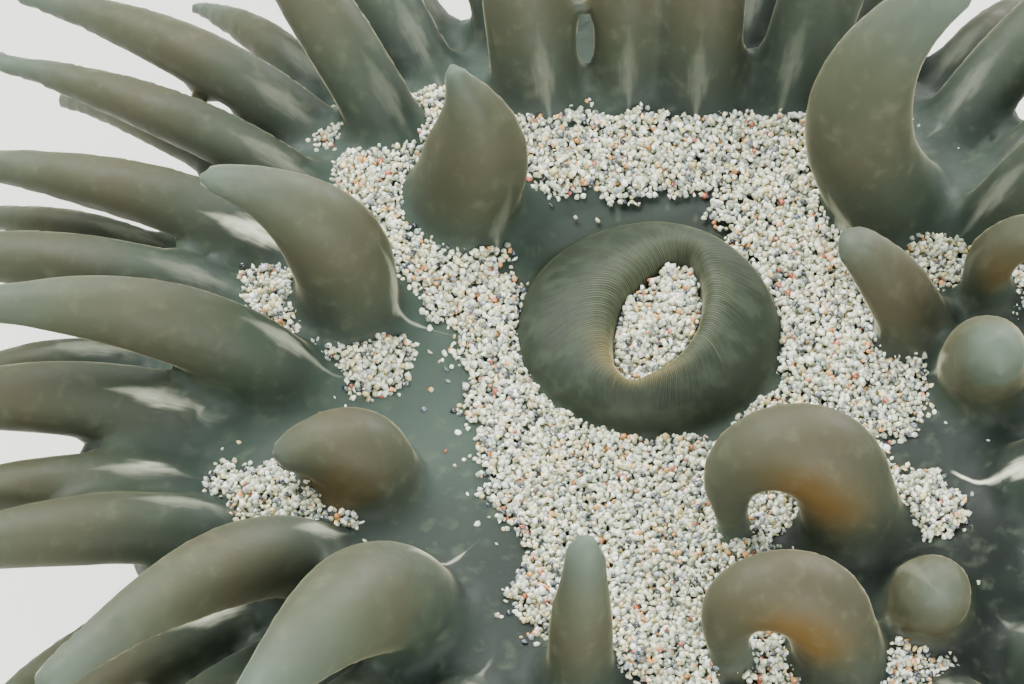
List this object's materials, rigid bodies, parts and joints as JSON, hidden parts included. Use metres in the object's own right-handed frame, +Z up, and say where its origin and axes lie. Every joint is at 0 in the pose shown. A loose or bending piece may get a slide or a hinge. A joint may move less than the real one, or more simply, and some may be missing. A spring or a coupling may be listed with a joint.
{
  "type": "sea anemone",
  "caption": "Life-size still sea anemone standing on its foot: stout flared column, open oral disc with a ribbed slit mouth and a crown of tapering, curling tentacles.",
  "frame": {"origin": "middle of the flat sole, where the foot rests on the floor", "axes": "+Z up the column to the oral disc; +Y towards the back, on the side of the disc where the mouth lies, so that an onlooker on the -Y side looks down on the disc"},
  "size_m": [0.0631, 0.0638, 0.0396],
  "materials": {
    "foot": "satin",
    "column": "satin",
    "disc": "gloss",
    "mouth": "gloss",
    "tentacle": "gloss",
    "sand": "satin"
  },
  "bodies": {
    "root": {"foot": "foot", "column_lower": "column", "column_upper": "column", "collar": "column", "oral_disc": "disc", "lips": "mouth", "throat": "mouth", "tentacle_first_01_root": "tentacle", "tentacle_first_01_end": "tentacle", "tentacle_first_02": "tentacle", "tentacle_first_03_root": "tentacle", "tentacle_first_03_end": "tentacle", "tentacle_first_04": "tentacle", "tentacle_first_05": "tentacle", "tentacle_first_06": "tentacle", "tentacle_second_01_root": "tentacle", "tentacle_second_01_end": "tentacle", "tentacle_second_02_root": "tentacle", "tentacle_second_02_end": "tentacle", "tentacle_second_03": "tentacle", "tentacle_second_04_root": "tentacle", "tentacle_second_04_end": "tentacle", "tentacle_second_05": "tentacle", "tentacle_second_06": "tentacle", "tentacle_third_01": "tentacle", "tentacle_third_02": "tentacle", "tentacle_third_03": "tentacle", "tentacle_third_04": "tentacle", "tentacle_third_05": "tentacle", "tentacle_third_06": "tentacle", "tentacle_third_07": "tentacle", "tentacle_third_08": "tentacle", "tentacle_third_09": "tentacle", "tentacle_third_10": "tentacle", "tentacle_third_11": "tentacle", "tentacle_third_12": "tentacle", "tentacle_fourth_01": "tentacle", "tentacle_fourth_02": "tentacle", "tentacle_fourth_03": "tentacle", "tentacle_fourth_04": "tentacle", "tentacle_fourth_05": "tentacle", "tentacle_fourth_06": "tentacle", "tentacle_fourth_07": "tentacle", "tentacle_fourth_08": "tentacle", "tentacle_fourth_09": "tentacle", "tentacle_fourth_10": "tentacle", "tentacle_fourth_11": "tentacle", "tentacle_fourth_12": "tentacle", "tentacle_fourth_13": "tentacle", "tentacle_fourth_14": "tentacle", "tentacle_fourth_15": "tentacle", "tentacle_fourth_16": "tentacle", "tentacle_fourth_17": "tentacle", "tentacle_fourth_18": "tentacle", "tentacle_fourth_19": "tentacle", "tentacle_fourth_20": "tentacle", "tentacle_fourth_21": "tentacle", "tentacle_fourth_22": "tentacle", "tentacle_fourth_23": "tentacle", "tentacle_fourth_24": "tentacle"}
  },
  "joints": []
}
